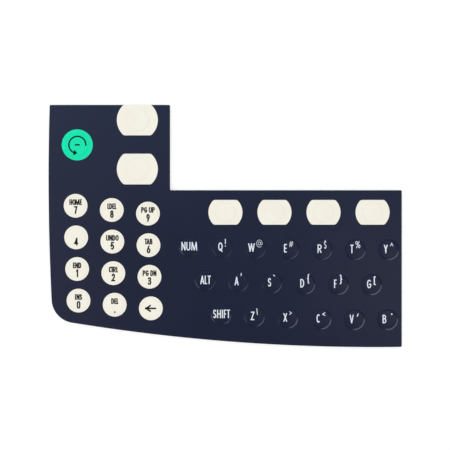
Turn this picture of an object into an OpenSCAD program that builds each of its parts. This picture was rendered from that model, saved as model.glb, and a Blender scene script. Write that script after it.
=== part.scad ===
// Embossed membrane keypad: an L-shaped laminate of printed film, metal domes and two circuit films.
// Origin at the middle of the panel's back; +X right, +Y up the panel, +Z out of the key face.

/* [Panel] */
// Height of the display window that the L leaves open
window_h = 38.4; // [34:0.1:60]
// Radius of the bowed bottom edge
bottom_r = 850; // [700:10:2000]
// Distance of the bottom edge's lowest point from the right edge
bottom_low = 12.3; // [5:0.1:30]
// Radius of the bowed left edge
left_r = 1105; // [800:5:2000]
// Distance of the left edge's outermost point from the top edge
left_out = 33; // [20:0.5:50]
// Radius of the large lower left corner
corner_r = 10.8; // [4:0.1:13]
// Radius of the small corners
edge_r = 0.5; // [0.5:0.1:2]
// How far the inner layers stop short of the overlay's edge
layer_setback = 0.3; // [0:0.05:0.4]

/* [Layers] */
// Thickness of the release liner
liner_t = 0.15; // [0.08:0.01:0.3]
// Thickness of the rear adhesive
rear_adhesive_t = 0.15; // [0.05:0.01:0.3]
// Thickness of each circuit film
circuit_t = 0.15; // [0.1:0.01:0.25]
// Depth of the printed conductors
conductor_t = 0.05; // [0.02:0.01:0.08]
// Thickness of the spacer between the circuits
spacer_t = 0.2; // [0.1:0.01:0.3]
// Thickness of the dome retainer
retainer_t = 0.45; // [0.35:0.01:0.6]
// Thickness of the overlay adhesive
overlay_adhesive_t = 0.1; // [0.05:0.01:0.2]
// Thickness of the graphic overlay
overlay_t = 0.3; // [0.2:0.01:0.4]
// Depth of the printed key fields
print_t = 0.1; // [0.05:0.01:0.12]

/* [Embossing] */
// Diameter of the embossed key
emboss_d = 9.8; // [8.5:0.1:11]
// Diameter of the larger embossing on the side keys
side_emboss_d = 11; // [9:0.1:12.5]
// Height of the embossing
emboss_h = 0.45; // [0.2:0.01:0.6]
// Width of the sloping shoulder round the embossing
shoulder_w = 1; // [0.5:0.05:1.5]
// Height of the crown inside the shoulder
crown_h = 0.08; // [0.02:0.01:0.12]

/* [Domes] */
// Diameter of a metal dome
dome_d = 8.5; // [7:0.1:10]
// Height of a metal dome
dome_h = 0.5; // [0.35:0.01:0.6]
// Thickness of a metal dome
dome_t = 0.08; // [0.05:0.01:0.12]
// Diameter of the dimple at the top of a dome
dimple_d = 1.4; // [0.8:0.1:2.5]
// Depth of that dimple
dimple_h = 0.06; // [0.02:0.01:0.1]
// Clearance between a dome and its pocket
dome_clearance = 0.25; // [0.1:0.05:0.5]
// Width of the vent channels between pockets
vent_w = 1; // [0.5:0.1:2]

/* [Number pad] */
// Column pitch of the number pad
pad_pitch_x = 16.28; // [14:0.01:19]
// Row pitch of the number pad
pad_pitch_y = 14.23; // [13:0.01:17]
// Distance of the first column from the left edge
pad_margin = 12.1; // [10:0.05:15]
// Drop of the first row's first key below the window's lower edge
pad_drop = 7; // [6:0.05:12]
// Distance of the last column from the window's side edge
pad_gap = 10; // [8:0.05:16]
// Room between the last row's first key and the bottom edge
pad_foot = 9; // [8:0.1:16]
// Share of the bottom edge's bow that the number rows follow
pad_bow = 0.77; // [0:0.01:1]
// Printed rim round the embossing of a number key
disc_rim = 0.44; // [0.2:0.01:1]

/* [Letter keys] */
// Key pitch along a row
letter_pitch = 14.98; // [13:0.01:19]
// Distance between the rows
row_pitch = 15.76; // [13:0.01:19]
// Shift of each row against the one above
letter_stagger = 7.25; // [4:0.05:9]
// Distance of the first key from the window's side edge
letter_inset = 8.56; // [8:0.01:14]
// Drop of the first row below the soft keys
letter_drop = 16.85; // [15:0.05:22]
// Room between the last row and the bottom edge
letter_foot = 12.3; // [11:0.1:18]
// Distance of the last key from the right edge
right_margin = 5.9; // [5.6:0.1:15]

/* [Soft keys] */
// Pitch of the soft keys along both window edges
soft_pitch = 22.08; // [18:0.01:23]
// Drop of the lower soft keys below the window
soft_drop = 9.95; // [8:0.05:14]
// Distance of the first lower soft key from the window's side edge
soft_inset = 24.95; // [20:0.05:27]
// Printed rim above and below the embossing of a lower soft key
soft_rim = 0.66; // [0.3:0.05:2]
// How much wider than tall a lower soft key is
soft_extra = 4.2; // [2:0.05:6]
// Distance of the side keys from the window's side edge
side_inset = 14.7; // [12:0.05:18]
// Drop of the upper side key below the top edge
side_drop = 6.8; // [6.5:0.05:14]
// Printed rim above and below the embossing of a side key
side_rim = 1.4; // [0.5:0.05:2.5]
// How much wider than tall a side key is
side_extra = 4.65; // [2:0.05:7]
// Radius of the soft keys' corners
soft_corner = 1.6; // [0.4:0.05:2]

/* [Round key] */
// Distance of the round green key from the left edge
round_margin = 12.9; // [11:0.05:16]
// Drop of the round green key below the top edge
round_drop = 18; // [12:0.05:24]
// Printed rim round its embossing
round_rim = 1.48; // [0.3:0.05:2.5]

/* [Circuit] */
// Diameter of a contact pad
contact_d = 4.5; // [3:0.1:6]
// Width of a conductor
conductor_w = 0.5; // [0.3:0.05:0.8]
// Spacing of the conductors that run side by side
conductor_pitch = 1.1; // [0.9:0.05:1.3]
// Distance of the outermost conductor from the panel's edge
conductor_margin = 1.8; // [1.2:0.1:3]
// Clearance between a contact pad and the spacer round it
contact_clearance = 0.75; // [0.3:0.05:1.5]
// Width of the slot in the back where the connection leaves
outlet_w = 12; // [10:0.5:16]
// Height of that slot
outlet_h = 3.5; // [2:0.1:3.8]
// Distance of the slot's middle from the bottom edge
outlet_up = 4.5; // [3.5:0.1:8]

/* [Hidden] */
$fn = 96;
cut = 1;

pad_names = [["7", "8", "9"], ["4", "5", "6"], ["1", "2", "3"], ["0", "point", "back"]];
letter_names = [
    ["num", "q", "w", "e", "r", "t", "y"],
    ["alt", "a", "s", "d", "f", "g"],
    ["shift", "z", "x", "c", "v", "b"]
];
soft_names = ["soft_1", "soft_2", "soft_3", "soft_4"];

// Panel: the window's side edge stands right of the number pad, and the longest letter row sets the width
column_w = pad_margin + (len(pad_names[0]) - 1) * pad_pitch_x + pad_gap;
letters_w = letter_inset + (len(letter_names[0]) - 1) * letter_pitch + right_margin;
panel_w = column_w + letters_w;
x_left = -panel_w / 2;
x_right = panel_w / 2;
x_window = x_left + column_w;
x_low = x_right - bottom_low;

// The strip under the window is as tall as the taller of its two key blocks needs
function bow(x) = bottom_r - sqrt(bottom_r * bottom_r - (x - x_low) * (x - x_low));
pad_h = pad_drop + (len(pad_names) - 1) * pad_pitch_y + pad_foot + bow(x_left + pad_margin);
letters_h = soft_drop + letter_drop + (len(letter_names) - 1) * row_pitch + letter_foot;
strip_h = max(pad_h, letters_h);
panel_h = strip_h + window_h;
y_bottom = -panel_h / 2;
y_top = panel_h / 2;
y_window = y_bottom + strip_h;
y_out = y_top - left_out;
function lean(y) = left_r - sqrt(left_r * left_r - (y - y_out) * (y - y_out));

// Levels of the layers, from the back
z_adhesive = liner_t;
z_lower = z_adhesive + rear_adhesive_t;
z_spacer = z_lower + circuit_t;
z_upper = z_spacer + spacer_t;
z_dome = z_upper + circuit_t;
z_seal = z_dome + retainer_t;
z_overlay = z_seal + overlay_adhesive_t;
z_face = z_overlay + overlay_t;

// Keys: name, place and embossing diameter
function pad_key(row, column) =
    let (first_y = y_window - pad_drop - row * pad_pitch_y)
    let (first_x = x_left + lean(first_y) + pad_margin)
    let (x = first_x + column * pad_pitch_x)
    [pad_names[row][column], x, first_y - pad_bow * (bow(first_x) - bow(x)), emboss_d];

function letter_key(row, column) =
    let (x = x_window + letter_inset + row * letter_stagger + column * letter_pitch)
    let (low_y = y_window - soft_drop - letter_drop - row * row_pitch)
    let (share = (y_window - low_y) / strip_h)
    [letter_names[row][column], x, low_y + share * bow(x), emboss_d];

pad_rows = [for (r = [0:len(pad_names) - 1]) [for (c = [0:len(pad_names[r]) - 1]) pad_key(r, c)]];
letter_rows = [for (r = [0:len(letter_names) - 1]) [for (c = [0:len(letter_names[r]) - 1]) letter_key(r, c)]];
soft_keys = [for (i = [0:len(soft_names) - 1])
    [soft_names[i], x_window + soft_inset + i * soft_pitch, y_window - soft_drop, emboss_d]];
round_key = ["green", x_left + round_margin, y_top - round_drop, side_emboss_d];
side_keys = [for (i = [0, 1])
    [["side_upper", "side_lower"][i], x_window - side_inset, y_top - side_drop - i * soft_pitch, side_emboss_d]];
side_row = concat([round_key], side_keys);
rows = concat([side_row], pad_rows, [soft_keys], letter_rows);
keys = [for (row = rows) each row];
pad_keys = [for (row = pad_rows) each row];

function place(key) = [key[1], key[2]];
function places(row) = [for (key = row) place(key)];
function reversed(list) = [for (i = [len(list) - 1:-1:0]) list[i]];
function last(list) = list[len(list) - 1];
function arc(middle, r, from, to, steps) =
    [for (i = [0:steps]) let (a = from + (to - from) * i / steps) middle + r * [cos(a), sin(a)]];

// Where two circles meet, on the left of the way from the first centre to the second
function meeting(first, first_r, second, second_r) =
    let (way = second - first)
    let (d = norm(way))
    let (along = (first_r * first_r - second_r * second_r + d * d) / (2 * d))
    let (across = sqrt(first_r * first_r - along * along))
    first + (way * along + [-way[1], way[0]] * across) / d;
function bearing(from, to) = let (a = atan2(to[1] - from[1], to[0] - from[0])) a < 0 ? a + 360 : a;

// Outline of the L, an inset inside the overlay's edge, counter-clockwise from the top left corner
function outline(inset) =
    let (small = edge_r - inset, inner = edge_r + inset)
    let (side_r = left_r - inset, foot_r = bottom_r - inset, large = corner_r - inset)
    let (side_c = [x_left + left_r, y_out], foot_c = [x_low, y_bottom + bottom_r])
    let (top = y_top - inset, right = x_right - inset, step_x = x_window - inset, step_y = y_window - inset)
    let (a_y = top - small - y_out)
    let (a = [side_c[0] - sqrt(pow(side_r - small, 2) - a_y * a_y), top - small])
    let (b = meeting(side_c, side_r - large, foot_c, foot_r - large))
    let (c_x = right - small - x_low)
    let (c = [right - small, foot_c[1] - sqrt(pow(foot_r - small, 2) - c_x * c_x)])
    concat(
        arc(a, small, 90, bearing(side_c, a), 4),
        arc(side_c, side_r, bearing(side_c, a), bearing(side_c, b), 16),
        arc(b, large, bearing(side_c, b), bearing(foot_c, b), 12),
        arc(foot_c, foot_r, bearing(foot_c, b), bearing(foot_c, c), 32),
        arc(c, small, bearing(foot_c, c), 360, 4),
        arc([right - small, step_y - small], small, 0, 90, 4),
        arc([step_x + inner, step_y + inner], inner, 270, 180, 4),
        arc([step_x - small, top - small], small, 0, 90, 4)
    );

// One flat layer of the laminate with round openings under the keys
module layer(z, t, inset) {
    translate([0, 0, z]) linear_extrude(t) polygon(outline(inset));
}

module openings(z, t, clearance_d) {
    for (key = keys)
        translate([key[1], key[2], z - cut]) cylinder(d = clearance_d, h = t + 2 * cut);
}

// Ribbon of constant width along a route, with mitred bends
function unit(v) = v / norm(v);
function side_step(route, i) =
    let (ends = len(route) - 1)
    let (back = unit(route[max(i, 1)] - route[max(i, 1) - 1]))
    let (ahead = unit(route[min(i, ends - 1) + 1] - route[min(i, ends - 1)]))
    [-back[1] - ahead[1], back[0] + ahead[0]] / (1 + back * ahead);
function ribbon(route, w) = concat(
    [for (i = [0:len(route) - 1]) route[i] + side_step(route, i) * w / 2],
    [for (i = [len(route) - 1:-1:0]) route[i] - side_step(route, i) * w / 2]
);

module vents(z, t) {
    for (row = rows)
        translate([0, 0, z - cut]) linear_extrude(t + 2 * cut) polygon(ribbon(places(row), vent_w));
}

// Half profile of an embossing: a crowned top and an S-shaped shoulder that ends at the film
function shoulder_z(share) = (emboss_h - crown_h) * (1 - cos(180 * share)) / 2;
function emboss_profile(d) =
    let (top_r = d / 2 - shoulder_w)
    concat(
        [for (i = [0:3]) let (r = top_r * i / 4) [r, emboss_h - crown_h * pow(r / top_r, 2)]],
        [for (i = [0:5]) [top_r + shoulder_w * i / 5, shoulder_z(1 - i / 5)]]
    );
function raised(profile, z) = [for (p = profile) [p[0], p[1] + z]];

// Solid under an embossing, standing on a level and reaching some way below it
module embossing(key, z, below) {
    profile = raised(emboss_profile(key[3]), z);
    translate([key[1], key[2], 0]) rotate_extrude()
        polygon(concat(profile, [[key[3] / 2, z - below], [0, z - below]]));
}

// Skin of print over an embossing, out to a rim; with open_top it is the recess for that skin instead
module round_print(key, rim, open_top) {
    edge = key[3] / 2 + rim;
    sunk = concat(raised(emboss_profile(key[3]), z_face - print_t), [[edge, z_face - print_t]]);
    over = open_top
        ? [[edge, z_face + emboss_h + cut], [0, z_face + emboss_h + cut]]
        : concat([[edge, z_face]], reversed(raised(emboss_profile(key[3]), z_face)));
    translate([key[1], key[2], 0]) rotate_extrude() polygon(concat(sunk, over));
}

// Outline of a soft key: a disc cut level above and below, with rounded corners
function soft_outline(h, extra) =
    let (r = (h + extra) / 2, y = h / 2 - soft_corner)
    let (x = sqrt(pow(r - soft_corner, 2) - y * y))
    let (turn = atan2(y, x))
    concat(
        arc([0, 0], r, -turn, turn, 16),
        arc([x, y], soft_corner, turn, 90, 6),
        arc([-x, y], soft_corner, 90, 180 - turn, 6),
        arc([0, 0], r, 180 - turn, 180 + turn, 16),
        arc([-x, -y], soft_corner, 180 + turn, 270, 6),
        arc([x, -y], soft_corner, 270, 360 - turn, 6)
    );

module soft_prism(key, rim, extra, z, h) {
    translate([key[1], key[2], z]) linear_extrude(h) polygon(soft_outline(key[3] + 2 * rim, extra));
}

module soft_print(key, rim, extra) {
    difference() {
        union() {
            intersection() {
                soft_prism(key, rim, extra, z_face - print_t, print_t);
                layer(z_face - print_t - cut, print_t + 2 * cut, 0);
            }
            embossing(key, z_face, print_t / 2);
        }
        embossing(key, z_face - print_t, cut);
    }
}

module soft_recess(key, rim, extra) {
    difference() {
        soft_prism(key, rim, extra, z_face - print_t, emboss_h + cut);
        embossing(key, z_face - print_t, cut);
    }
}

module graphic_overlay() {
    color("#272b3f") difference() {
        union() {
            layer(z_overlay, overlay_t, 0);
            for (key = keys) embossing(key, z_face, overlay_t / 2);
        }
        for (key = keys) embossing(key, z_overlay, cut);
        for (key = pad_keys) round_print(key, disc_rim, true);
        round_print(round_key, round_rim, true);
        for (key = soft_keys) soft_recess(key, soft_rim, soft_extra);
        for (key = side_keys) soft_recess(key, side_rim, side_extra);
    }
}

module cream_key_print() {
    color("#f3efe3") {
        for (key = pad_keys) round_print(key, disc_rim, false);
        for (key = soft_keys) soft_print(key, soft_rim, soft_extra);
        for (key = side_keys) soft_print(key, side_rim, side_extra);
    }
}

module green_key_print() {
    color("#10e8b0") round_print(round_key, round_rim, false);
}

module overlay_adhesive() {
    color("#d9dce0") difference() {
        layer(z_seal, overlay_adhesive_t, layer_setback);
        openings(z_seal, overlay_adhesive_t, max(emboss_d, side_emboss_d));
    }
}

module dome_retainer() {
    color("#e6e4da") difference() {
        layer(z_dome, retainer_t, layer_setback);
        openings(z_dome, retainer_t, dome_d + 2 * dome_clearance);
        vents(z_dome, retainer_t);
    }
}

// Thin domed disc with a dimple at its top, resting on its rim
module dome(key) {
    steps = 8;
    rim_r = dome_d / 2;
    low_h = dome_h - dome_t;
    function under(r) = low_h * (1 - pow(r / rim_r, 2)) - dimple_h * max(0, 1 - pow(2 * r / dimple_d, 2));
    radii = concat(
        [for (i = [0:2]) dimple_d / 2 * i / 3],
        [for (i = [0:steps]) dimple_d / 2 + (rim_r - dimple_d / 2) * i / steps]
    );
    below = [for (r = radii) [r, z_dome + under(r)]];
    above = [for (r = reversed(radii)) [r, z_dome + under(r) + dome_t]];
    color("#c4c8cc") translate([key[1], key[2], 0]) rotate_extrude() polygon(concat(below, above));
}

// Upper circuit: one conductor for each key row, running down between the two key blocks to the outlet
y_outlet = y_bottom + bow(x_window) + outlet_up;
lane_order = concat(reversed(pad_rows), [side_row, soft_keys], letter_rows);
function lane_x(i) = x_window + (i - (len(lane_order) - 1) / 2) * conductor_pitch;
function lead(i) = [lane_x(i), y_outlet];
function entry(i) =
    let (row = lane_order[i], near = i < len(pad_rows) + 1 ? last(row) : row[0])
    i == len(pad_rows)
        ? [[lane_x(0), y_window - edge_r], [lane_x(i), y_window - pad_drop + contact_d / 2]]
        : [[lane_x(i), near[2]]];
function row_route(i) =
    let (row = places(lane_order[i]))
    concat(i < len(pad_rows) + 1 ? row : reversed(row), entry(i), [lead(i)]);

module contacts(z, t) {
    for (key = keys) translate([key[1], key[2], z]) cylinder(d = contact_d, h = t);
}

module tracks(routes, z, t) {
    for (route = routes) translate([0, 0, z]) linear_extrude(t) polygon(ribbon(route, conductor_w));
}

module upper_layout(z, t) {
    contacts(z, t);
    tracks([for (i = [0:len(lane_order) - 1]) row_route(i)], z, t);
}

// Lower circuit: one conductor for each key column, running along the bottom edge to the outlet
letter_columns = [for (c = [0:len(letter_rows[0]) - 1]) [for (row = letter_rows) if (c < len(row)) row[c]]];
soft_columns = [1, 2, 4, 6];
function with_soft(c) = concat([for (i = [0:len(soft_columns) - 1]) if (soft_columns[i] == c) soft_keys[i]],
    letter_columns[c]);
function pad_column(c) = concat(c == 0 ? [round_key] : c == 2 ? side_keys : [], [for (row = pad_rows) row[c]]);
function edge_lane(i, from, to) =
    [for (k = [0:6]) let (x = from + (to - from) * k / 6)
        [x, y_bottom + bow(x) + conductor_margin + i * conductor_pitch]];
function letter_route(c) =
    let (column = places(with_soft(c)), lanes = len(letter_columns) - 1)
    let (foot = c == lanes ? [[x_right - conductor_margin - conductor_w, last(column)[1] - contact_d]] : [])
    let (down = concat(column, foot))
    concat(down, edge_lane(lanes - c, last(down)[0], x_window + conductor_pitch));
function pad_route(c) =
    let (column = places(pad_column(c)))
    concat(column, edge_lane(c, last(column)[0], x_window - conductor_pitch));

module lower_layout(z, t) {
    contacts(z, t);
    tracks([for (c = [0:len(letter_columns) - 1]) letter_route(c)], z, t);
    tracks([for (c = [0:len(pad_names[0]) - 1]) pad_route(c)], z, t);
}

module upper_circuit_film() {
    color("#dfe3e4") difference() {
        layer(z_upper, circuit_t, layer_setback);
        upper_layout(z_upper - cut, conductor_t + cut);
    }
}

module upper_conductors() {
    color("#a9adb2") upper_layout(z_upper, conductor_t);
}

module circuit_spacer() {
    color("#e9e6da") difference() {
        layer(z_spacer, spacer_t, layer_setback);
        openings(z_spacer, spacer_t, contact_d + 2 * contact_clearance);
        vents(z_spacer, spacer_t);
    }
}

module lower_circuit_film() {
    color("#dfe3e4") difference() {
        layer(z_lower, circuit_t, layer_setback);
        lower_layout(z_spacer - conductor_t, conductor_t + cut);
    }
}

module lower_conductors() {
    color("#a9adb2") lower_layout(z_spacer - conductor_t, conductor_t);
}

module outlet(z, t) {
    translate([x_window - outlet_w / 2, y_outlet - outlet_h / 2, z - cut]) cube([outlet_w, outlet_h, t + 2 * cut]);
}

module rear_adhesive() {
    color("#cfd2d4") difference() {
        layer(z_adhesive, rear_adhesive_t, layer_setback);
        outlet(z_adhesive, rear_adhesive_t);
    }
}

module release_liner() {
    color("#e9dfc4") difference() {
        layer(0, liner_t, 0);
        outlet(0, liner_t);
    }
}

graphic_overlay();
cream_key_print();
green_key_print();
overlay_adhesive();
dome_retainer();
for (key = keys) dome(key);
upper_circuit_film();
upper_conductors();
circuit_spacer();
lower_circuit_film();
lower_conductors();
rear_adhesive();
release_liner();
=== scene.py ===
"""Looks of an embossed membrane keypad: inks, films, printed legends, studio light and camera."""

import math
from collections import namedtuple

import bpy
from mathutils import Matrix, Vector
from mathutils.bvhtree import BVHTree
from mathutils.geometry import delaunay_2d_cdt


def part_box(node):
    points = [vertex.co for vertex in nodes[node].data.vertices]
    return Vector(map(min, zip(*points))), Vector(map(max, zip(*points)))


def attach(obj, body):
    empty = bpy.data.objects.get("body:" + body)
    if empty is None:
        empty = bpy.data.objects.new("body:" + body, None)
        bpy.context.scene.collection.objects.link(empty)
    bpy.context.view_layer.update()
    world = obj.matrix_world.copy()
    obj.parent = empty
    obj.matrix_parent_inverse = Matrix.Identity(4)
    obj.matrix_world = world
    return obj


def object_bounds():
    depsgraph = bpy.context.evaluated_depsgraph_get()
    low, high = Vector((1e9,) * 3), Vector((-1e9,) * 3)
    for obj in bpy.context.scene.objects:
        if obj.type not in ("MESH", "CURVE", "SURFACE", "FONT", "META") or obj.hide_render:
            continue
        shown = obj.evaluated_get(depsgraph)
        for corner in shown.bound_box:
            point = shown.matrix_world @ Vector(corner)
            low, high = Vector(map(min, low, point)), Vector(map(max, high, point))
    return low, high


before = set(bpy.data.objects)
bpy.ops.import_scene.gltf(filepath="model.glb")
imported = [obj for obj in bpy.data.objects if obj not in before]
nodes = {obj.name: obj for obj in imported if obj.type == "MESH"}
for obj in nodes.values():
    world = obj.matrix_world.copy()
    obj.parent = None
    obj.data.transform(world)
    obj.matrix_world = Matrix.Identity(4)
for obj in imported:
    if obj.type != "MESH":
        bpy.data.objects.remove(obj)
cad_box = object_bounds()
scene = bpy.context.scene
scene.view_settings.view_transform = "Standard"

MM = 0.001
BODY = "root"

# Camera: straight above the panel, through a long lens
VIEW_WIDTH = 202.4 * MM
VIEW_CENTRE = (-0.08 * MM, 0.45 * MM)
LENS = 100
SENSOR = 36

# Studio
FLOOR_HALF = 4.0
FLOOR_Z = -0.1 * MM
FLOOR_WHITE = 0.80
FLOOR_GLOW = 0.29
AMBIENT = 0.97
CEILING = 0.01
BACKDROP_TOP = 0.20
BACKDROP_FULL = 0.06

# Legends, in millimetres
INK_T = 0.02
INK_SUNK = 0.01
SEARCH_ABOVE = 1.0
LETTER_PLACE = (-0.11, 0.36)
SIGN_BASE = 0.45
DIGIT_PLACE = (0.08, -1.9)
WORD_PLACE = (0.06, 1.64)

# A type: cap height and stroke in millimetres, how far its glyphs are widened, and its gaps in
# shares of the cap height: the common one, and those of pairs that lean into or crowd each other
Type = namedtuple("Type", "cap stroke widen gap tight loose")
LETTERS = Type(3.8, 0.45, 1.0, 0.10, 0.06, 0.10)
SIGNS_BESIDE = Type(3.4, 0.34, 1.0, 0.10, 0.06, 0.10)
DIGITS = Type(3.5, 0.64, 1.02, 0.10, 0.06, 0.10)
WORDS = Type(2.6, 0.52, 1.11, 0.02, -0.08, 0.10)
TIGHT_PAIRS = ("AL", "LT", "TA", "CT", "TR", "FT", "OM")
LOOSE_PAIRS = ("IN",)
SPACE = 0.21

# Strokes: degrees of an arc from point to point, its fewest parts, and a ribbon's longest part in mm
ARC_STEP = 7.5
ARC_PARTS = 6
STEP = 0.22
# Turn in degrees that splits a ribbon, its longest mitre in half strokes, and its share of a bend
SHARP_TURN = 35
LONGEST_MITRE = 4.0
BEND_SHARE = 0.45
# Ends of a closed route and points that repeat lie nearer than these, and smaller bends are straight
CLOSED_GAP = 1e-6
REPEAT_GAP = 1e-4
STRAIGHT = 1e-6
# Points of a union nearer than this, or alike to these decimals, fall together
MERGE = 1e-5
WELD_DECIMALS = 4

# Noise values between which a material drifts from its one end to the other
DRIFT_LOW = 0.3
DRIFT_HIGH = 0.7


def linear(r, g, b):
    """Linear colour with alpha from display values of 0 to 255."""
    def channel(value):
        share = value / 255
        return share / 12.92 if share <= 0.04045 else ((share + 0.055) / 1.055) ** 2.4
    return (channel(r), channel(g), channel(b), 1.0)


# Strokes of the lettering, in shares of a glyph's width and height
def line(*points):
    """Route through some points."""
    return [tuple(p) for p in points]


def arc(x, y, rx, ry, start, end):
    """Route along an ellipse about a middle, between two angles in degrees."""
    count = max(ARC_PARTS, round(abs(end - start) / ARC_STEP))
    turns = [math.radians(start + (end - start) * i / count) for i in range(count + 1)]
    return [(x + rx * math.cos(a), y + ry * math.sin(a)) for a in turns]


def ring(x, y, rx, ry):
    return arc(x, y, rx, ry, 0, 360)


def slot_ring(end):
    """Ring with straight sides and round ends of a height."""
    return arc(0.5, 1 - end, 0.5, end, 0, 180) + arc(0.5, end, 0.5, end, 180, 360) + line((1, 1 - end))


def mirrored(strokes):
    return [[(1 - x, y) for x, y in stroke] for stroke in strokes]


CURVED_S = arc(0.5, 0.745, 0.47, 0.255, 30, 270) + arc(0.5, 0.245, 0.5, 0.245, 90, -145)
LEFT_BRACE = [
    arc(1, 1.08, 0.5, 0.14, 90, 180) + arc(0, 0.72, 0.5, 0.13, 0, -90),
    arc(0, 0.46, 0.5, 0.13, 90, 0) + arc(1, 0.05, 0.5, 0.14, 180, 270),
]
LESS_THAN = [line((1, 0.75), (0, 0.545), (1, 0.34))]

# Each glyph: its width as a share of the cap height, and its strokes
GLYPHS = {
    "A": (0.46, [line((-0.06, -0.1), (0.5, 1), (1.06, -0.1)), line((0.2, 0.28), (0.8, 0.28))]),
    "B": (0.44, [
        line((0, -0.1), (0, 1), (0.4, 1)) + arc(0.4, 0.77, 0.5, 0.23, 80, -90) + line((0, 0.54)),
        line((0, 0.54), (0.45, 0.54)) + arc(0.45, 0.27, 0.55, 0.27, 80, -90) + line((0, 0)),
    ]),
    "C": (0.39, [arc(0.56, 0.5, 0.56, 0.5, 55, 305)]),
    "D": (0.46, [
        line((0, -0.1), (0, 1), (0.35, 1)) + arc(0.35, 0.5, 0.65, 0.5, 80, -90) + line((0, 0)),
    ]),
    "E": (0.33, [line((1, 1), (0, 1), (0, 0), (1, 0)), line((0, 0.5), (0.85, 0.5))]),
    "F": (0.30, [line((1, 1), (0, 1), (0, -0.1)), line((0, 0.5), (0.85, 0.5))]),
    "G": (0.50, [arc(0.53, 0.5, 0.53, 0.5, 52, 335) + line((1, 0.46), (0.58, 0.46))]),
    "H": (0.45, [line((0, -0.1), (0, 1.1)), line((1, -0.1), (1, 1.1)), line((0, 0.5), (1, 0.5))]),
    "I": (0.14, [line((0.5, -0.1), (0.5, 1.1))]),
    "L": (0.27, [line((0, 1.1), (0, 0), (1, 0))]),
    "M": (0.71, [line((0, -0.1), (0.1, 1), (0.5, 0), (0.9, 1), (1, -0.1))]),
    "N": (0.48, [line((0, -0.1), (0, 1), (1, 0), (1, 1.1))]),
    "O": (0.50, [ring(0.5, 0.5, 0.5, 0.5)]),
    "P": (0.44, [
        line((0, -0.1), (0, 1), (0.4, 1)) + arc(0.4, 0.74, 0.6, 0.26, 80, -90) + line((0, 0.48)),
    ]),
    "Q": (0.52, [ring(0.5, 0.5, 0.5, 0.5), line((0.58, 0.18), (0.95, -0.13))]),
    "R": (0.50, [
        line((0, -0.1), (0, 1), (0.4, 1)) + arc(0.4, 0.74, 0.55, 0.26, 80, -90) + line((0, 0.48)),
        line((0.42, 0.48), (1.02, -0.1)),
    ]),
    "S": (0.37, [CURVED_S]),
    "T": (0.38, [line((0, 1), (1, 1)), line((0.5, 1), (0.5, -0.1))]),
    "U": (0.48, [
        line((0, 1.1), (0, 0.28)) + arc(0.5, 0.28, 0.5, 0.28, 190, 350) + line((1, 0.28), (1, 1.1)),
    ]),
    "V": (0.46, [line((-0.06, 1.1), (0.5, 0), (1.06, 1.1))]),
    "W": (0.77, [line((-0.03, 1.1), (0.25, 0), (0.5, 1), (0.75, 0), (1.03, 1.1))]),
    "X": (0.43, [line((-0.07, -0.1), (1.07, 1.1)), line((-0.07, 1.1), (1.07, -0.1))]),
    "Y": (0.45, [line((-0.08, 1.1), (0.5, 0.42), (1.08, 1.1)), line((0.5, 0.46), (0.5, -0.1))]),
    "Z": (0.41, [line((0, 1), (1, 1), (0, 0), (1, 0))]),
    "0": (0.46, [slot_ring(0.26)]),
    "1": (0.30, [line((0, 0.82), (0.8, 1), (0.8, -0.1))]),
    "2": (0.43, [arc(0.5, 0.72, 0.48, 0.28, 165, -35) + line((0, 0), (1.05, 0))]),
    "3": (0.46, [
        arc(0.45, 0.765, 0.45, 0.235, 155, -90) + line((0.3, 0.53)),
        line((0.3, 0.53), (0.45, 0.53)) + arc(0.45, 0.265, 0.53, 0.265, 80, -155),
    ]),
    "4": (0.48, [line((0.72, -0.1), (0.72, 1), (0, 0.24), (1.05, 0.24))]),
    "5": (0.44, [line((0.95, 1), (0.16, 1), (0.1, 0.56)) + arc(0.46, 0.31, 0.54, 0.31, 118, -125)]),
    "6": (0.48, [ring(0.5, 0.3, 0.5, 0.3), line((0.08, 0.42), (0.66, 1.1))]),
    "7": (0.40, [line((0, 1), (1, 1), (0.3, -0.1))]),
    "8": (0.46, [ring(0.5, 0.765, 0.42, 0.235), ring(0.5, 0.265, 0.5, 0.265)]),
    "9": (0.44, [ring(0.5, 0.7, 0.5, 0.3), line((0.92, 0.58), (0.34, -0.1))]),
    "!": (0.14, [line((0.5, 1), (0.5, 0.36)), line((0.5, 0.0), (0.5, 0.02))]),
    "@": (0.80, [
        arc(0.5, 0.5, 0.5, 0.5, -50, -360) + arc(0.86, 0.5, 0.14, 0.18, -20, -180) + line((0.72, 0.72)),
        ring(0.5, 0.5, 0.22, 0.22),
    ]),
    "#": (0.56, [
        line((0.16, 0.16), (0.44, 0.90)), line((0.56, 0.16), (0.84, 0.90)),
        line((0, 0.40), (0.94, 0.40)), line((0.06, 0.68), (1, 0.68)),
    ]),
    "$": (0.29, [CURVED_S, line((0.5, 1), (0.5, 1.08)), line((0.5, 0), (0.5, -0.04))]),
    "%": (0.64, [ring(0.2, 0.8, 0.2, 0.2), ring(0.8, 0.3, 0.2, 0.2), line((0.18, 0.08), (0.82, 1))]),
    "^": (0.41, [line((0, 0.38), (0.5, 0.72), (1, 0.38))]),
    "'": (0.13, [line((1, 1.04), (0, 0.72))]),
    "`": (0.24, [line((0, 0.99), (1, 0.83))]),
    "{": (0.28, LEFT_BRACE),
    "}": (0.30, mirrored(LEFT_BRACE)),
    "[": (0.27, [line((1, 0.98), (0, 0.98), (0, -0.18), (1, -0.18))]),
    "\\": (0.16, [line((0, 0.96), (1, 0.12))]),
    "<": (0.37, LESS_THAN),
    ">": (0.31, mirrored(LESS_THAN)),
    "/": (0.24, [line((1, 0.66), (0, 0.32))]),
    ".": (0.16, [line((0.5, 0.0), (0.5, 0.03))]),
    "*": (0.18, [line((0.5, 0.60), (0.5, 0.67))]),
    " ": (SPACE, []),
}
# Glyphs whose strokes end square, where the others are cut level with the line of text
OPEN_ENDED = set("Q{}[@#$%^`\\<>/'*!.")

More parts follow.
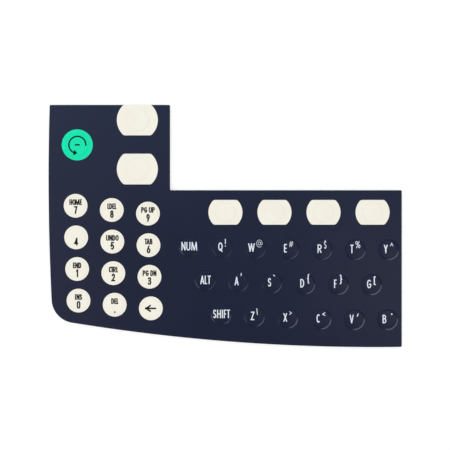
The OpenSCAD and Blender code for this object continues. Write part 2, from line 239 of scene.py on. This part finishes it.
PAD_LEGENDS = {
    "7": ("HOME", "7"), "8": ("LDEL", "8"), "9": ("PG UP", "9"),
    "4": ("", "4"), "5": ("UNDO", "5"), "6": ("TAB", "6"),
    "1": ("END", "1"), "2": ("CTRL", "2"), "3": ("PG DN", "3"),
    "0": ("INS", "0"), "point": ("DEL", "."),
}
# Each word key: the place of its word's middle, from the key's centre
WORD_KEYS = {"num": (0.16, 0.06), "alt": (0.2, 0.15), "shift": (0.16, 0.36)}
# Each letter key: the raised sign beside its letter, the gap between them and the sign's stroke
SIGNS = {
    "q": ("!", 1.0, 0.34), "w": ("@", 0.75, 0.17), "e": ("#", 1.0, 0.22), "r": ("$", 1.05, 0.30),
    "t": ("%", 0.85, 0.26), "y": ("^", 1.1, 0.28), "a": ("'", 0.95, 0.34), "s": ("`", 0.95, 0.30),
    "d": ("{", 1.35, 0.40), "f": ("}", 1.45, 0.44), "g": ("[", 1.15, 0.48), "z": ("\\", 0.95, 0.32),
    "x": (">", 1.05, 0.28), "c": ("<", 1.15, 0.34), "v": ("/", 1.45, 0.40), "b": ("*", 2.15, 0.50),
}


# Ribbons: a stroke becomes a chain of small quads, split where it turns a sharp corner
def sampled(points):
    """The same route with points no further apart than STEP."""
    route = [points[0]]
    for start, end in zip(points, points[1:]):
        count = max(1, math.ceil((end - start).length / STEP))
        route += [start.lerp(end, (i + 1) / count) for i in range(count)]
    return route


def chains(points):
    """Parts of a route between its sharp corners, each with the tangents of its corners' half turns."""
    sharp = math.radians(SHARP_TURN)
    parts = []
    part = [points[0]]
    lead = 1.0
    for i in range(1, len(points) - 1):
        part.append(points[i])
        turn = (points[i] - points[i - 1]).angle(points[i + 1] - points[i])
        if turn > sharp:
            reach = min(math.tan(turn / 2), LONGEST_MITRE)
            parts.append((part, lead, reach))
            part = [points[i]]
            lead = reach
    part.append(points[-1])
    parts.append((part, lead, 1.0))
    return parts


def ribbon(points, stroke):
    """Left and right edge points of a ribbon along a route, no further in than its bends leave room."""
    left, right = [], []
    closed = (points[0] - points[-1]).length < CLOSED_GAP
    for i, point in enumerate(points):
        before = points[i - 1] if i else (points[-2] if closed else None)
        after = points[i + 1] if i + 1 < len(points) else (points[1] if closed else None)
        back = (point - before).normalized() if before else (after - point).normalized()
        ahead = (after - point).normalized() if after else back
        side = Vector((-back.y - ahead.y, back.x + ahead.x)) / (1 + back.dot(ahead))
        bend = back.cross(ahead)
        room = stroke / 2
        if abs(bend) > STRAIGHT:
            beside = (point - before).length + (after - point).length
            room = min(room, BEND_SHARE * beside / abs(bend))
        left.append(point + side * (room if bend > 0 else stroke / 2))
        right.append(point - side * (room if bend < 0 else stroke / 2))
    return left, right


def distinct(points):
    """A route without points that repeat the one before."""
    route = [points[0]]
    for point in points[1:]:
        if (point - route[-1]).length > REPEAT_GAP:
            route.append(point)
    return route


def stroke_quads(points, stroke):
    """Quads of a ribbon along a route, with square ends and mitred corners."""
    quads = []
    for part, lead, reach in chains(distinct(points)):
        if (part[0] - part[-1]).length > CLOSED_GAP:
            part[0] = part[0] + (part[0] - part[1]).normalized() * stroke / 2 * lead
            part[-1] = part[-1] + (part[-1] - part[-2]).normalized() * stroke / 2 * reach
        route = sampled(part)
        left, right = ribbon(route, stroke)
        for i in range(len(route) - 1):
            ahead = route[i + 1] - route[i]
            turned = [(side[i + 1] - side[i]).dot(ahead) <= 0 for side in (left, right)]
            inner = route if turned[0] else left
            outer = route if turned[1] else right
            quads.append((outer[i], outer[i + 1], inner[i + 1], inner[i]))
    return quads


def flat_union(quads, low=None, high=None):
    """Triangles that cover a set of overlapping quads once, cut level at two heights if given."""
    points = []
    faces = []
    for quad in quads:
        faces.append(list(range(len(points), len(points) + len(quad))))
        turning = sum(a.cross(b) for a, b in zip(quad, quad[1:] + quad[:1]))
        points += quad if turning > 0 else quad[::-1]
    edges = []
    if low is not None:
        left = min(p.x for p in points) - 1
        right = max(p.x for p in points) + 1
        for y in (low, high):
            edges.append((len(points), len(points) + 1))
            points += [Vector((left, y)), Vector((right, y))]
    out = delaunay_2d_cdt(points, edges, faces, 0, MERGE)
    places, triangles, sources = out[0], out[2], out[5]
    first = {}
    welded = []
    for i, p in enumerate(places):
        welded.append(first.setdefault((round(p.x, WELD_DECIMALS), round(p.y, WELD_DECIMALS)), i))
    kept = []
    for triangle, source in zip(triangles, sources):
        middle = sum(places[i].y for i in triangle) / len(triangle)
        corners = [welded[i] for i in triangle]
        if source and len(set(corners)) == len(corners) and (low is None or low < middle < high):
            kept.append(corners)
    return places, kept


def gap_after(text, i, style):
    """Gap between a glyph of a text and the next one, as a share of the cap height."""
    pair = text[i:i + 2]
    if pair in TIGHT_PAIRS:
        return style.tight
    return style.loose if pair in LOOSE_PAIRS else style.gap


def text_width(text, style):
    widths = [GLYPHS[c][0] * style.widen for c in text]
    gaps = [gap_after(text, i, style) for i in range(len(text) - 1)]
    return (sum(widths) + sum(gaps)) * style.cap


def lettering(text, style, left, base):
    """A line of text as a list of one flat patch, or of none, from its left end along its base line."""
    quads = []
    cap, stroke = style.cap, style.stroke
    for i, c in enumerate(text):
        share, strokes = GLYPHS[c]
        width = share * style.widen * cap
        across = max(width - stroke, 0)
        up = cap - stroke
        for points in strokes:
            route = [
                Vector((left + (width - across) / 2 + x * across, base + stroke / 2 + y * up))
                for x, y in points
            ]
            quads += stroke_quads(route, stroke)
        left += width + gap_after(text, i, style) * cap
    if not quads:
        return []
    if set(text) <= OPEN_ENDED:
        return [flat_union(quads)]
    return [flat_union(quads, base, base + cap)]


def centred(text, style, middle):
    x, y = middle
    return lettering(text, style, x - text_width(text, style) / 2, y - style.cap / 2)


# Ink on the film: a patch is raised off the surface below it as a thin closed prism
def carrier(*names):
    """Search tree over the faces of some nodes."""
    corners = []
    faces = []
    for name in names:
        mesh = nodes[name].data
        start = len(corners)
        corners += [v.co.copy() for v in mesh.vertices]
        faces += [[start + i for i in p.vertices] for p in mesh.polygons]
    return BVHTree.FromPolygons(corners, faces)


def ground(tree, x, y):
    """Height of the surface at a place, searched from above the part."""
    above = Vector((x, y, cad_box[1][2] + SEARCH_ABOVE * MM))
    return tree.ray_cast(above, Vector((0, 0, -1)))[0].z


def prisms(patches, tree, corners, faces):
    """Adds the prisms of some flat patches to a mesh's corners and faces."""
    for places, triangles in patches:
        start = len(corners)
        used = sorted({i for t in triangles for i in t})
        top = {old: start + 2 * k for k, old in enumerate(used)}
        for old in used:
            x, y = places[old].x * MM, places[old].y * MM
            z = ground(tree, x, y)
            corners.append((x, y, z + INK_T * MM))
            corners.append((x, y, z - INK_SUNK * MM))
        sides = {}
        for a, b, c in triangles:
            faces.append((top[a], top[b], top[c]))
            faces.append((top[c] + 1, top[b] + 1, top[a] + 1))
            for pair in ((a, b), (b, c), (c, a)):
                sides[pair] = True
        for a, b in sides:
            if (b, a) not in sides:
                faces.append((top[a], top[a] + 1, top[b] + 1, top[b]))


def moved(patches, x, y):
    return [([p + Vector((x, y)) for p in places], triangles) for places, triangles in patches]


def key_centre(name):
    low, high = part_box("dome_" + name)
    return (low.x + high.x) / 2 / MM, (low.y + high.y) / 2 / MM


def mesh_piece(name, corners, faces, material):
    """New object with a mesh and a material, which rides the body."""
    mesh = bpy.data.meshes.new(name)
    mesh.from_pydata(corners, [], faces)
    mesh.validate()
    mesh.update()
    mesh.materials.append(material)
    piece = bpy.data.objects.new(name, mesh)
    scene.collection.objects.link(piece)
    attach(piece, BODY)


# Legends of the three groups of keys
def pad_patches():
    patches = []
    for name, (word, digit) in PAD_LEGENDS.items():
        x, y = key_centre(name)
        flat = centred(word, WORDS, WORD_PLACE)
        flat += centred(digit, DIGITS, DIGIT_PLACE)
        patches += moved(flat, x, y)
    return patches + moved(back_arrow(), *key_centre("back"))


def back_arrow():
    """Left arrow with a filled tip."""
    length, half, barb, tip, stroke = 4.15, 1.22, 1.8, 1.1, 0.72
    end = length / 2
    head = [Vector((-end + barb, half)), Vector((-end, 0)), Vector((-end + barb, -half))]
    shaft = [Vector((end, 0)), Vector((-end + tip, 0))]
    filled = (head[1], head[1].lerp(head[2], tip / barb), head[1].lerp(head[0], tip / barb))
    return [flat_union(stroke_quads(head, stroke) + stroke_quads(shaft, stroke) + [filled])]


def letter_patches():
    patches = []
    for name, place in WORD_KEYS.items():
        patches += moved(centred(name.upper(), LETTERS, place), *key_centre(name))
    x, y = LETTER_PLACE
    for name, (sign, gap, stroke) in SIGNS.items():
        letter = name.upper()
        beside = SIGNS_BESIDE._replace(stroke=stroke)
        wide = text_width(letter, LETTERS)
        left = x - (wide + gap + text_width(sign, beside)) / 2
        flat = lettering(letter, LETTERS, left, y - LETTERS.cap / 2)
        flat += lettering(sign, beside, left + wide + gap, SIGN_BASE)
        patches += moved(flat, *key_centre(name))
    return patches


def arrowhead(foot, point, across):
    """Small pieces of a triangle from its foot to its point, so that it can follow a curved surface."""
    count = 6

    def place(u, v):
        return foot.lerp(point, u / count) + across * (2 * v / count - 1) * (1 - u / count)

    pieces = []
    for i in range(count):
        for j in range(count):
            corners = [place(i, j), place(i, j + 1)]
            if i + 1 < count:
                corners += [place(i + 1, j + 1), place(i + 1, j)]
            else:
                corners += [point]
            pieces.append(tuple(corners))
    return pieces


def round_arrow():
    """Open ring that turns anticlockwise into an arrowhead, with a dash in its middle."""
    radius, stroke, start, end, tip = 3.82, 0.66, -1, 244, 270
    half = 1.3
    dash, dash_stroke = 2.2, 0.66
    shift = 0.1
    points = [Vector(p) for p in arc(0, 0, radius, radius, start, end)]
    foot = points[-1]
    point = Vector(arc(0, 0, radius, radius, start, tip)[-1])
    across = (point - foot).orthogonal().normalized() * half
    bar = [Vector((-(dash - dash_stroke) / 2, 0)), Vector(((dash - dash_stroke) / 2, 0))]
    ring_quads = stroke_quads(points, stroke) + arrowhead(foot, point, across)
    return moved([flat_union(ring_quads), flat_union(stroke_quads(bar, dash_stroke))], shift, 0)


def legend_piece(name, patches, tree, material):
    corners, faces = [], []
    prisms(patches, tree, corners, faces)
    mesh_piece(name, corners, faces, material)


# Materials
def add(tree, kind, **inputs):
    """New node of a kind, with values on the inputs that are named."""
    node = tree.nodes.new(kind)
    for key, value in inputs.items():
        node.inputs[key.replace("_", " ")].default_value = value
    return node


def surface(name, dark, light, rough, patch, grain, relief, ior=1.5, metallic=0.0, stretch=(1, 1, 1)):
    """Principled surface whose colour drifts between two shades over patches, with a fine grain.
    Sizes are in metres: patch of the colour drift, grain of the relief, and height of the relief."""
    material = bpy.data.materials.new(name)
    material.use_nodes = True
    tree = material.node_tree
    shader = tree.nodes["Principled BSDF"]
    shader.inputs["IOR"].default_value = ior
    shader.inputs["Metallic"].default_value = metallic
    place = tree.nodes.new("ShaderNodeTexCoord")
    scaled = add(tree, "ShaderNodeMapping", Scale=stretch)
    tree.links.new(place.outputs["Object"], scaled.inputs["Vector"])
    drift = add(tree, "ShaderNodeTexNoise", Scale=1 / patch, Detail=4.0, Roughness=0.6)
    fine = add(tree, "ShaderNodeTexNoise", Scale=1 / grain, Detail=3.0, Roughness=0.55)
    for noise in (drift, fine):
        tree.links.new(scaled.outputs["Vector"], noise.inputs["Vector"])
    shades = tree.nodes.new("ShaderNodeValToRGB")
    shades.color_ramp.elements[0].position = DRIFT_LOW
    shades.color_ramp.elements[0].color = dark
    shades.color_ramp.elements[1].position = DRIFT_HIGH
    shades.color_ramp.elements[1].color = light
    tree.links.new(drift.outputs["Fac"], shades.inputs["Fac"])
    tree.links.new(shades.outputs["Color"], shader.inputs["Base Color"])
    gloss = add(tree, "ShaderNodeMapRange", From_Min=DRIFT_LOW, From_Max=DRIFT_HIGH,
                To_Min=rough[0], To_Max=rough[1])
    tree.links.new(fine.outputs["Fac"], gloss.inputs["Value"])
    tree.links.new(gloss.outputs["Result"], shader.inputs["Roughness"])
    bump = add(tree, "ShaderNodeBump", Strength=0.6, Distance=relief)
    tree.links.new(fine.outputs["Fac"], bump.inputs["Height"])
    tree.links.new(bump.outputs["Normal"], shader.inputs["Normal"])
    return material


def dress(material, *names):
    """Gives some nodes a material in place of their own."""
    for name in names:
        slots = nodes[name].data.materials
        slots.clear()
        slots.append(material)


navy_film = surface("navy_film", linear(25, 31, 57), linear(28, 34, 60),
                    rough=(0.21, 0.27), patch=30 * MM, grain=0.25 * MM, relief=0.001 * MM,
                    ior=1.65)
cream_ink = surface("cream_ink", linear(240, 235, 220), linear(243, 239, 226),
                    rough=(0.26, 0.34), patch=12 * MM, grain=0.25 * MM, relief=0.001 * MM,
                    ior=1.25)
green_ink = surface("green_ink", linear(2, 223, 168), linear(4, 232, 176),
                    rough=(0.24, 0.32), patch=6 * MM, grain=0.25 * MM, relief=0.001 * MM, ior=1.3)
white_ink = surface("white_ink", linear(224, 230, 240), linear(234, 239, 247),
                    rough=(0.40, 0.50), patch=2 * MM, grain=0.12 * MM, relief=0.002 * MM)
black_ink = surface("black_ink", linear(10, 10, 12), linear(15, 15, 17),
                    rough=(0.40, 0.50), patch=2 * MM, grain=0.12 * MM, relief=0.002 * MM)
dark_green_ink = surface("dark_green_ink", linear(0, 32, 20), linear(1, 40, 26),
                         rough=(0.40, 0.50), patch=2 * MM, grain=0.12 * MM, relief=0.002 * MM,
                         ior=1.2)
clear_film = surface("clear_film", linear(206, 212, 214), linear(222, 226, 228),
                     rough=(0.16, 0.28), patch=20 * MM, grain=0.6 * MM, relief=0.002 * MM)
spacer_film = surface("spacer_film", linear(222, 219, 206), linear(234, 231, 220),
                      rough=(0.40, 0.55), patch=15 * MM, grain=0.4 * MM, relief=0.003 * MM)
adhesive = surface("adhesive", linear(205, 207, 208), linear(222, 223, 222),
                   rough=(0.25, 0.45), patch=8 * MM, grain=0.8 * MM, relief=0.01 * MM)
dome_steel = surface("dome_steel", linear(178, 181, 184), linear(205, 207, 209),
                     rough=(0.20, 0.34), patch=3 * MM, grain=0.15 * MM, relief=0.002 * MM,
                     metallic=1.0, stretch=(1, 6, 1))
silver_ink = surface("silver_ink", linear(150, 153, 156), linear(188, 190, 192),
                     rough=(0.40, 0.60), patch=1 * MM, grain=0.06 * MM, relief=0.004 * MM,
                     metallic=0.9)
liner_paper = surface("liner_paper", linear(224, 215, 190), linear(234, 226, 203),
                      rough=(0.55, 0.75), patch=2.5 * MM, grain=0.35 * MM, relief=0.012 * MM,
                      stretch=(1, 0.35, 1))

dress(navy_film, "graphic_overlay")
dress(cream_ink, "cream_key_print")
dress(green_ink, "green_key_print")
dress(adhesive, "overlay_adhesive", "rear_adhesive")
dress(spacer_film, "dome_retainer", "circuit_spacer")
dress(clear_film, "upper_circuit_film", "lower_circuit_film")
dress(silver_ink, "upper_conductors", "lower_conductors")
dress(liner_paper, "release_liner")
dress(dome_steel, *[name for name in nodes if name.startswith("dome_") and name != "dome_retainer"])

legend_piece("pad_legends", pad_patches(), carrier("cream_key_print"), black_ink)
legend_piece("letter_legends", letter_patches(), carrier("graphic_overlay"), white_ink)
legend_piece("round_arrow", moved(round_arrow(), *key_centre("green")), carrier("green_key_print"),
             dark_green_ink)


# Camera
def set_camera():
    data = bpy.data.cameras.new("camera")
    data.lens = LENS
    data.sensor_width = SENSOR
    data.clip_start = 0.01
    camera = bpy.data.objects.new("camera", data)
    face_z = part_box("graphic_overlay")[1].z
    camera.location = (*VIEW_CENTRE, face_z + VIEW_WIDTH * LENS / SENSOR)
    scene.collection.objects.link(camera)
    scene.camera = camera


# Floor: white to the camera, with the shadow that the light leaves on it
def set_floor():
    mesh = bpy.data.meshes.new("floor")
    signs = ((-1, -1), (1, -1), (1, 1), (-1, 1))
    corners = [(x * FLOOR_HALF, y * FLOOR_HALF, FLOOR_Z) for x, y in signs]
    mesh.from_pydata(corners, [], [(0, 1, 2, 3)])
    floor = bpy.data.objects.new("floor", mesh)
    scene.collection.objects.link(floor)
    material = bpy.data.materials.new("floor")
    material.use_nodes = True
    tree = material.node_tree
    tree.nodes.remove(tree.nodes["Principled BSDF"])
    matt = add(tree, "ShaderNodeBsdfDiffuse", Color=(FLOOR_WHITE, FLOOR_WHITE, FLOOR_WHITE, 1))
    glow = add(tree, "ShaderNodeEmission")
    both = tree.nodes.new("ShaderNodeAddShader")
    share = add(tree, "ShaderNodeMath")
    share.operation = "MULTIPLY"
    share.inputs[1].default_value = FLOOR_GLOW
    tree.links.new(seen_rays(tree), share.inputs[0])
    tree.links.new(share.outputs[0], glow.inputs["Strength"])
    tree.links.new(matt.outputs[0], both.inputs[0])
    tree.links.new(glow.outputs[0], both.inputs[1])
    tree.links.new(both.outputs[0], tree.nodes["Material Output"].inputs["Surface"])
    mesh.materials.append(material)


def seen_rays(tree):
    """Output that is 1 for rays that show a background: camera, glossy and transmission rays."""
    path = tree.nodes.new("ShaderNodeLightPath")
    total = path.outputs["Is Camera Ray"]
    for kind in ("Is Glossy Ray", "Is Transmission Ray"):
        largest = tree.nodes.new("ShaderNodeMath")
        largest.operation = "MAXIMUM"
        tree.links.new(total, largest.inputs[0])
        tree.links.new(path.outputs[kind], largest.inputs[1])
        total = largest.outputs[0]
    return total


# World: white behind the object, plain light on it, and a dim ceiling over a white backdrop in its gloss
def set_world():
    world = bpy.data.worlds.new("studio")
    scene.world = world
    world.use_nodes = True
    tree = world.node_tree
    back = tree.nodes["Background"]
    back.inputs["Color"].default_value = (1, 1, 1, 1)
    place = tree.nodes.new("ShaderNodeTexCoord")
    parts = tree.nodes.new("ShaderNodeSeparateXYZ")
    tree.links.new(place.outputs["Generated"], parts.inputs[0])
    rise = add(tree, "ShaderNodeMapRange", From_Min=BACKDROP_FULL, From_Max=BACKDROP_TOP,
               To_Min=1.0, To_Max=CEILING)
    tree.links.new(parts.outputs["Z"], rise.inputs["Value"])
    level = tree.nodes.new("ShaderNodeMix")
    level.inputs["A"].default_value = AMBIENT
    tree.links.new(seen_rays(tree), level.inputs["Factor"])
    tree.links.new(rise.outputs["Result"], level.inputs["B"])
    behind = tree.nodes.new("ShaderNodeMix")
    behind.inputs["B"].default_value = 1.0
    path = tree.nodes.new("ShaderNodeLightPath")
    tree.links.new(path.outputs["Is Camera Ray"], behind.inputs["Factor"])
    tree.links.new(level.outputs["Result"], behind.inputs["A"])
    tree.links.new(behind.outputs["Result"], back.inputs["Strength"])


def softbox(name, place, size, colour, radiance, roll=0, only_gloss=False, only_plain=False):
    """Rectangular lamp that faces the middle of the panel, with the radiance of its surface and a roll
    in degrees about its axis. It may give only gloss, or only plain light without a reflection."""
    data = bpy.data.lights.new(name, "AREA")
    data.shape = "RECTANGLE"
    data.size, data.size_y = size
    data.energy = radiance * math.pi * size[0] * size[1]
    data.color = colour
    lamp = bpy.data.objects.new(name, data)
    lamp.location = place
    lamp.rotation_euler = Vector(place).to_track_quat("Z", "Y").to_euler()
    lamp.rotation_euler.rotate_axis("Z", math.radians(roll))
    lamp.visible_diffuse = not only_gloss
    lamp.visible_glossy = not only_plain
    lamp.visible_camera = False
    scene.collection.objects.link(lamp)


set_camera()
set_floor()
set_world()
softbox("right_softbox", place=(0.14, -0.125, 0.072), size=(0.22, 0.06),
        colour=(0.74, 0.79, 1.0), radiance=2.05, roll=-4, only_gloss=True)
softbox("left_softbox", place=(-0.12, -0.080, 0.053), size=(0.12, 0.045),
        colour=(0.66, 0.71, 1.0), radiance=2.7, only_gloss=True)
softbox("left_fill", place=(-0.26, 0.10, 0.30), size=(0.25, 0.25),
        colour=(0.82, 0.94, 1.0), radiance=0.5, only_plain=True)
softbox("top_softbox", place=(0.0, 0.34, 1.0), size=(0.7, 0.56),
        colour=(0.47, 0.64, 1.0), radiance=0.38)
softbox("right_strip", place=(0.23, -0.08, 1.0), size=(0.14, 0.20),
        colour=(1.0, 0.99, 0.97), radiance=0.44)
softbox("left_strip", place=(-0.30, -0.06, 1.0), size=(0.40, 0.26),
        colour=(0.98, 0.99, 1.0), radiance=0.24)
